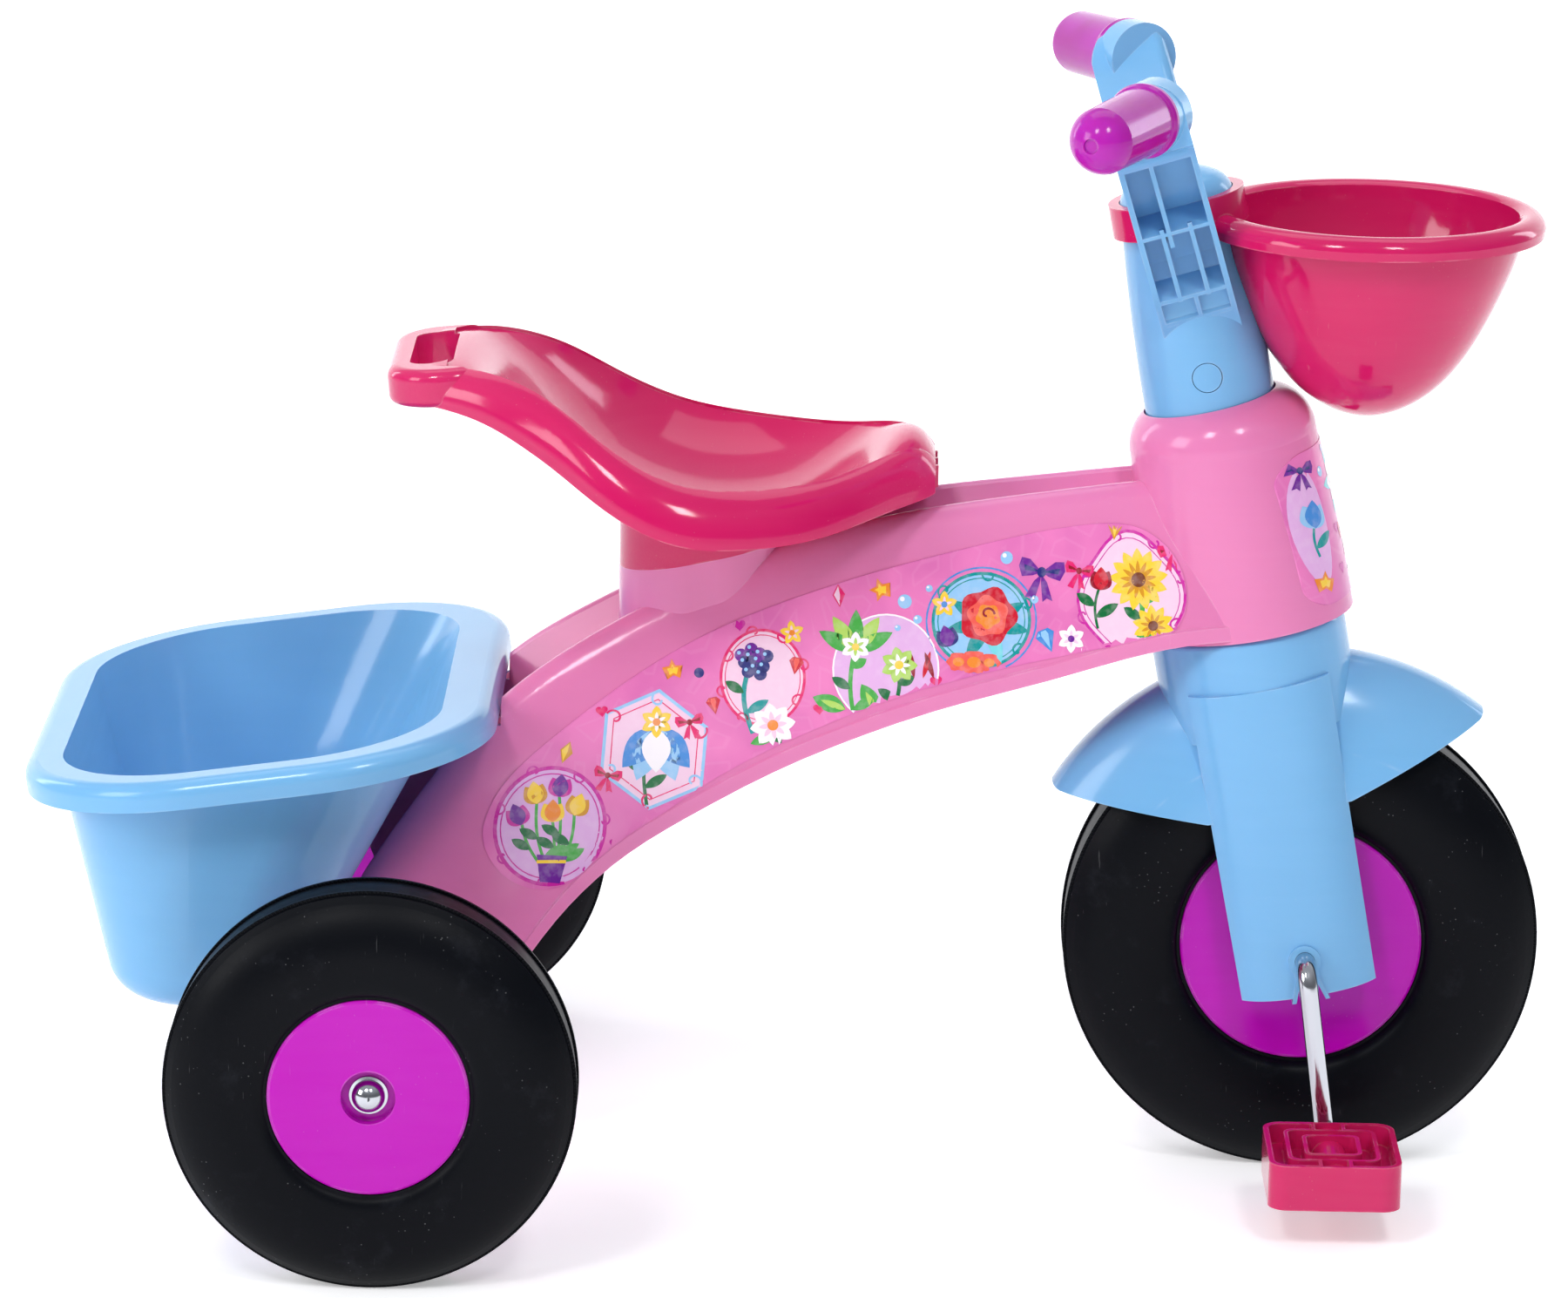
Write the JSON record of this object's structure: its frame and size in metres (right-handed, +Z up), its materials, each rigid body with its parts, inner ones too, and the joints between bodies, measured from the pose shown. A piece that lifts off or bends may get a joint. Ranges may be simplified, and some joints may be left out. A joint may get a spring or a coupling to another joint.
{
  "type": "children's tricycle",
  "caption": "Child's pedal tricycle with arched plastic frame, bucket seat, raked fork with mudguard, cranked front wheel, front basket and rear bin.",
  "frame": {"origin": "on the floor, half way between the rear lip of the bin and the front of the front wheel, on the plane of symmetry", "axes": "+X forward, +Y to the rider's left, +Z up"},
  "size_m": [0.694, 0.452, 0.5229],
  "materials": {
    "pink_shell": "glossy moulded light pink",
    "hot_pink": "glossy moulded deep pink",
    "light_blue": "glossy moulded light blue",
    "magenta": "glossy moulded magenta",
    "black_tyre": "satin black moulded tyre with fine ribbed tread edges",
    "steel": "bright plated steel",
    "sticker": "printed glossy film with flowers, bows, stars and gems"
  },
  "bodies": {
    "frame": {"frame": "pink_shell", "seat": "hot_pink", "rear_axle": "steel", "rear_spacers": "steel", "axle_caps": "steel", "side_sticker_left": "sticker", "side_sticker_right": "sticker", "head_sticker": "sticker"},
    "steering": {"fork": "light_blue", "axle_clip_left": "light_blue", "axle_clip_right": "light_blue", "handlebar": "light_blue", "grip_left": "magenta", "grip_right": "magenta", "front_basket": "hot_pink"},
    "front_wheel": {"front_tyre": "black_tyre", "front_disc_left": "magenta", "front_disc_right": "magenta", "crank_rod": "steel"},
    "pedal_left": {"pedal_left": "hot_pink"},
    "pedal_right": {"pedal_right": "hot_pink"},
    "rear_wheel_left": {"rear_tyre_left": "black_tyre", "rear_disc_outer_left": "magenta", "rear_disc_inner_left": "magenta"},
    "rear_wheel_right": {"rear_tyre_right": "black_tyre", "rear_disc_outer_right": "magenta", "rear_disc_inner_right": "magenta"},
    "lock_button_left": {"lock_button_left": "light_blue"},
    "lock_button_right": {"lock_button_right": "light_blue"},
    "rear_bin": {"rear_bin": "light_blue"}
  },
  "joints": [
    {"name": "steer", "type": "hinge", "parent": "frame", "child": "steering", "pos_m": [0.237, 0, 0.11], "axis": [-0.1908, 0, 0.9816], "range_deg": [-45, 45]},
    {"name": "front_wheel_spin", "type": "hinge", "parent": "steering", "child": "front_wheel", "pos_m": [0.237, 0, 0.11], "axis": [0, 1, 0], "continuous": true},
    {"name": "pedal_left_spin", "type": "hinge", "parent": "front_wheel", "child": "pedal_left", "pos_m": [0.22573, 0.1, 0.19021], "axis": [0, 1, 0], "continuous": true},
    {"name": "pedal_right_spin", "type": "hinge", "parent": "front_wheel", "child": "pedal_right", "pos_m": [0.24827, -0.1, 0.02979], "axis": [0, 1, 0], "continuous": true},
    {"name": "rear_left_spin", "type": "hinge", "parent": "frame", "child": "rear_wheel_left", "pos_m": [-0.182, 0.2008, 0.091], "axis": [0, 1, 0], "continuous": true},
    {"name": "rear_right_spin", "type": "hinge", "parent": "frame", "child": "rear_wheel_right", "pos_m": [-0.182, -0.2008, 0.091], "axis": [0, 1, 0], "continuous": true},
    {"name": "lock_left_press", "type": "slide", "parent": "steering", "child": "lock_button_left", "axis": [0, -1, 0], "range_m": [0, 0.0045], "stiffness_N_per_m": 300, "springref_m": -0.003},
    {"name": "lock_right_press", "type": "slide", "parent": "steering", "child": "lock_button_right", "axis": [0, 1, 0], "range_m": [0, 0.0045], "stiffness_N_per_m": 300, "springref_m": -0.003},
    {"name": "bin_lift", "type": "slide", "parent": "frame", "child": "rear_bin", "axis": [0, 0, 1], "range_m": [0, 0.12]}
  ]
}
